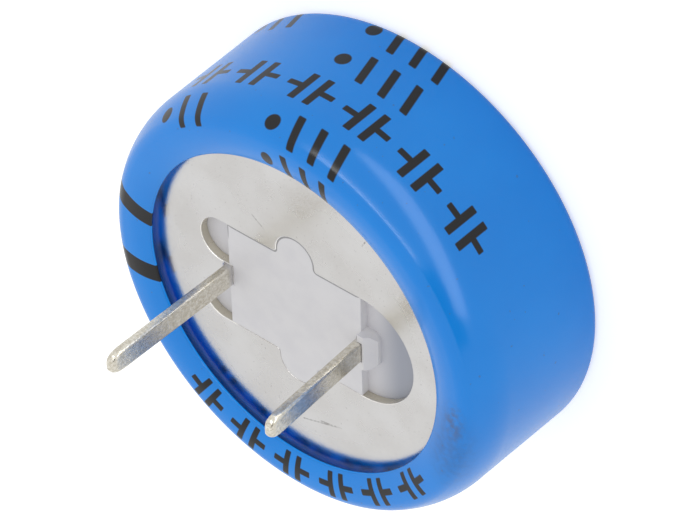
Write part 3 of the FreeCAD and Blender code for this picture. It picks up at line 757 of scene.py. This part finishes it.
def makePadFace(material):
    # the pad's flat face, drawn tight into the cut-out: its outline carried up the side and capped
    q = insulator
    half, slot, tail, end, pocket = (q[key] for key in ("half", "slot", "tail", "end", "pocket"))
    upper = joinLines(
        straightLine((slot, 0), (slot, half), 2),
        straightLine((slot, half), (tail, half), 2),
        notchLine(plates, end, tail, q["fit"])[::-1],
        straightLine((end, half), (pocket, half), 2),
        straightLine((pocket, half), (pocket, 0), 2))
    outline = joinLines(upper, mirrorLine(upper))[:-1]
    inward = np.stack([-np.gradient(outline[:, 1]), np.gradient(outline[:, 0])], -1)
    inward /= np.linalg.norm(inward, axis=1)[:, None]
    insets, heights, rims = zip(*q["skin"])
    points = np.stack([np.c_[outline + inward * inset, np.full(len(outline), height)]
                       for inset, height in zip(insets, heights)], 1)
    quads = gridFaces(*points.shape[:2], True, False)[0]
    foot = np.arange(len(outline)) * len(insets)
    caps = [foot.tolist(), (foot + len(insets) - 1).tolist()]
    piece = makePiece("pad_face", points.reshape(-1, 3), quads.tolist() + caps)
    # the outline row is marked 1 in the rim attribute; the material paints a thin shade line there
    layer = piece.data.attributes.new("rim", "FLOAT", "POINT")
    layer.data.foreach_set("value", np.tile(rims, len(outline)).astype(np.float32))
    closeSeams(piece)
    shadeFaces(piece.data, False)
    finishPiece(piece, material)


def makeFillet(material):
    # a fillet of plastic that fills the pocket under the negative blade's fold: a section run across the blade
    q = insulator
    centre, radius = np.array(q["fold"]), q["foldRound"]
    first = np.arcsin((q["top"] - centre[1]) / radius)
    last = -np.arccos((q["end"] - centre[0]) / radius)
    section = np.concatenate([[(q["end"], q["base"]), (q["pocket"], q["base"]), (q["pocket"], q["top"])],
                              arcLine(centre, radius, first, last, 10)])
    sides = [np.insert(section, 1, across, axis=1) for across in (-q["half"], q["half"])]
    points = np.stack(sides, 1)
    quads = gridFaces(len(section), 2, True, False)[0]
    caps = [list(range(0, 2 * len(section), 2)), list(range(1, 2 * len(section), 2))]
    piece = makePiece("pocket_fillet", points.reshape(-1, 3), quads.tolist() + caps)
    closeSeams(piece)
    shadeFaces(piece.data, False)
    finishPiece(piece, material)


def makeMoulding(material):
    # the frame's own moulding with its triangles joined into flats and its edges softened
    node = nodes["terminal_insulator"]
    mesh = node.data.copy()
    mesh.transform(node.matrix_world)
    mesh.materials.clear()
    piece = bpy.data.objects.new("soft_insulator", mesh)
    bpy.context.scene.collection.objects.link(piece)
    work = bmesh.new()
    work.from_mesh(mesh)
    bmesh.ops.remove_doubles(work, verts=work.verts, dist=mergeGap)
    bmesh.ops.dissolve_limit(work, angle_limit=np.radians(insulator["flatAngle"]), verts=work.verts,
                             edges=work.edges)
    bmesh.ops.recalc_face_normals(work, faces=work.faces)
    work.to_mesh(mesh)
    work.free()
    shadeFaces(mesh, True)
    bevel = piece.modifiers.new("soft", "BEVEL")
    bevel.width, bevel.segments, bevel.limit_method = insulator["soft"] * mm, insulator["softSteps"], "ANGLE"
    bevel.angle_limit, bevel.harden_normals = np.radians(insulator["softAngle"]), True
    finishPiece(piece, material, "terminal_insulator")


plastic = makePlastic()
makeFillet(plastic)
makePadFace(plastic)
makeMoulding(plastic)
print("insulator made")


# the can and the stack inside keep their meshes from the frame

# the curl tone and curl glow are painted blue light on the can's curl under the film's lip
canLook = {"steel": (colour(188, 188, 190), colour(202, 202, 204)), "paintedCurlBlue": colour(8, 92, 190),
           "paintedCurlGlow": colour(4, 50, 116), "curlFoot": (9.2 * mm, 9.5 * mm), "roughness": 0.3,
           "cloud": (300, 5)}
plainLook = {"detail": 5, "bump": 0.1}
# name of the material, dark and light tone, noise scale, roughness
cellLooks = {
    "collector": ("conductiveRubber", colour(30, 30, 32), colour(44, 44, 46), 900, 0.6),
    "gasket": ("gasketRubber", colour(50, 48, 46), colour(66, 63, 60), 900, 0.65),
    "electrode": ("carbonPaste", colour(22, 22, 23), colour(36, 36, 38), 2500, 0.85),
    "separator": ("separatorPaper", colour(222, 218, 206), colour(236, 233, 224), 2500, 0.8),
    "liner": ("linerFilm", colour(208, 204, 188), colour(222, 218, 204), 800, 0.4),
}


def makePlain(name, low, high, scale, roughness):
    material, tree, shader = newMaterial(name)
    cloud = noise(tree, put(tree, "TexCoord").outputs["Object"], scale, plainLook["detail"])
    tree.links.new(cloudColour(tree, cloud, low, high), shader.inputs["Base Color"])
    shader.inputs["Roughness"].default_value = roughness
    addBump(tree, shader, cloud, plainLook["bump"])
    return material


def makeCan():
    # plain steel, with painted blue light: its curl under the film's lip is painted blue and glows blue
    material, tree, shader = newMaterial("canSteel")
    place = put(tree, "TexCoord").outputs["Object"]
    steel = cloudColour(tree, noise(tree, place, *canLook["cloud"]), *canLook["steel"])
    underLip = fade(tree, put(tree, "SeparateXYZ", {0: place}).outputs["Z"], *canLook["curlFoot"])
    # painted blue light on the curl
    tree.links.new(mixColour(tree, underLip, steel, canLook["paintedCurlBlue"]), shader.inputs["Base Color"])
    addPaintedGlow(tree, shader, underLip, canLook["paintedCurlGlow"])
    shader.inputs["Metallic"].default_value = 1
    shader.inputs["Roughness"].default_value = canLook["roughness"]
    return material


finishes = {word: makePlain(*look) for word, look in cellLooks.items()}
finishes.update({"insulator": plastic, "plate": tin, "can": makeCan()})
for name, node in nodes.items():
    word = next((key for key in finishes if key in name), None)
    if word:
        node.data.materials.clear()
        node.data.materials.append(finishes[word])
print("finishes given to the carried-over pieces")


# floor, light and camera

studio = {"floorHalf": 1500, "floorRows": 9, "floorDrop": 0.01, "floorTone": 0.86, "floorSeen": 0.5,
          "floorMirrored": 0.2, "sky": 0.85, "skySeen": 0.15, "panelRise": 8, "cardTone": 0.02}


def dullMaterial(name, tone):
    # one grey with no shine
    material, tree, shader = newMaterial(name)
    shader.inputs["Base Color"].default_value = (tone, tone, tone, 1)
    shader.inputs["Roughness"].default_value = 1
    shader.inputs["Specular IOR Level"].default_value = 0
    return material, tree, shader


def makeFloor():
    # a wide square; white to the camera and to reflections, with the shadow kept
    share = np.linspace(-studio["floorHalf"], studio["floorHalf"], studio["floorRows"])
    x, y = np.meshgrid(share, share, indexing="ij")
    points = np.stack([x, y, np.full_like(x, -studio["floorDrop"])], -1)
    quads = gridFaces(*x.shape, False, False)[0]
    floor = makePiece("studio_floor", points.reshape(-1, 3), quads.tolist())
    material, tree, shader = dullMaterial("whiteFloor", studio["floorTone"])
    rays = put(tree, "LightPath").outputs
    mirrored = calc(tree, "MAXIMUM", rays["Is Glossy Ray"], rays["Is Transmission Ray"])
    seen = calc(tree, "MAXIMUM", times(tree, rays["Is Camera Ray"], studio["floorSeen"]),
                times(tree, mirrored, studio["floorMirrored"]))
    shader.inputs["Emission Color"].default_value = (1, 1, 1, 1)
    tree.links.new(seen, shader.inputs["Emission Strength"])
    floor.data.materials.append(material)


def makeWorld():
    # an even white sky, a little brighter where it is seen or mirrored than where it lights
    world = bpy.data.worlds.new("studio")
    bpy.context.scene.world = world
    world.use_nodes = True
    tree = world.node_tree
    back = tree.nodes["Background"]
    back.inputs["Color"].default_value = (1, 1, 1, 1)
    rays = put(tree, "LightPath").outputs
    seen = calc(tree, "MAXIMUM", calc(tree, "MAXIMUM", rays["Is Camera Ray"], rays["Is Glossy Ray"]),
                rays["Is Transmission Ray"])
    tree.links.new(calc(tree, "MULTIPLY_ADD", seen, studio["skySeen"], studio["sky"]), back.inputs["Strength"])


def panelSpot(start, stop, distance):
    # middle of a panel, and its long and short directions; its ends lie in two directions from the object,
    # each in degrees round and degrees up
    ends = []
    for turn, rise in np.radians((start, stop)):
        toEnd = Vector((np.cos(rise) * np.cos(turn), np.cos(rise) * np.sin(turn), np.sin(rise)))
        ends.append(toEnd * distance)
    middle, along = (ends[0] + ends[1]) / 2, ends[1] - ends[0]
    return middle + Vector((0, 0, studio["panelRise"])), along, middle.cross(along).normalized()


def makeCard(name, start, stop, distance, height):
    # a dark card that shows in reflections only
    middle, along, up = panelSpot(start, stop, distance)
    signs = ((-0.5, -0.5), (0.5, -0.5), (0.5, 0.5), (-0.5, 0.5))
    corners = [middle + along * a + up * height * b for a, b in signs]
    card = makePiece(name, np.array(corners), [[0, 1, 2, 3]])
    card.data.materials.append(dullMaterial("darkCard", studio["cardTone"])[0])
    card.visible_camera = card.visible_diffuse = card.visible_transmission = card.visible_shadow = False


def makeStrip(name, start, stop, distance, height, radiance, shine=True):
    # a strip lamp that either shines in reflections or fills
    middle, along, y = panelSpot(start, stop, distance)
    light = bpy.data.lights.new(name, "AREA")
    light.shape, light.size, light.size_y = "RECTANGLE", along.length * mm, height * mm
    light.energy = radiance * np.pi * light.size * light.size_y
    x = along.normalized()
    lamp = bpy.data.objects.new(name, light)
    turned = Matrix((x, y, x.cross(y))).transposed().to_4x4()
    lamp.matrix_world = Matrix.Translation(middle * mm) @ turned
    lamp.visible_camera = False
    lamp.visible_diffuse, lamp.visible_glossy = not shine, shine
    bpy.context.scene.collection.objects.link(lamp)


lamps = {
    "streak_lamp": {"start": (38, 31), "stop": (108, 21), "distance": 300, "height": 20, "radiance": 7},
    "soft_panel": {"start": (85, -10), "stop": (12, 9), "distance": 48, "height": 9, "radiance": 2.7},
    "left_fill": {"start": (150, 25), "stop": (240, 25), "distance": 300, "height": 130, "radiance": 0.25,
                  "shine": False},
}
darkCard = {"start": (-8, 20), "stop": (32, 26), "distance": 330, "height": 120}

makeFloor()
makeWorld()
for name, lamp in lamps.items():
    makeStrip(name, **lamp)
makeCard("dark_card", **darkCard)

# place in mm, the camera's own axes, its lens, and its near limit in metres
view = {
    "place": (95.6837, 131.2123, 114.9734), "right": (0.76479, -0.01785, -0.64403),
    "up": (-0.42001, 0.74420, -0.51939), "look": (-0.48856, -0.66772, -0.56166), "lens": 174.624, "sensor": 36,
    "near": 0.01,
}


def makeCamera():
    data = bpy.data.cameras.new("studio_camera")
    data.lens, data.sensor_width, data.sensor_fit = view["lens"], view["sensor"], "HORIZONTAL"
    data.clip_start = view["near"]
    camera = bpy.data.objects.new("studio_camera", data)
    axes = Matrix((view["right"], view["up"], [-k for k in view["look"]])).transposed().to_4x4()
    camera.matrix_world = Matrix.Translation(Vector(view["place"]) * mm) @ axes
    bpy.context.scene.collection.objects.link(camera)
    bpy.context.scene.camera = camera


makeCamera()
bpy.context.scene.view_settings.view_transform = "Standard"
print("floor, light and camera set")
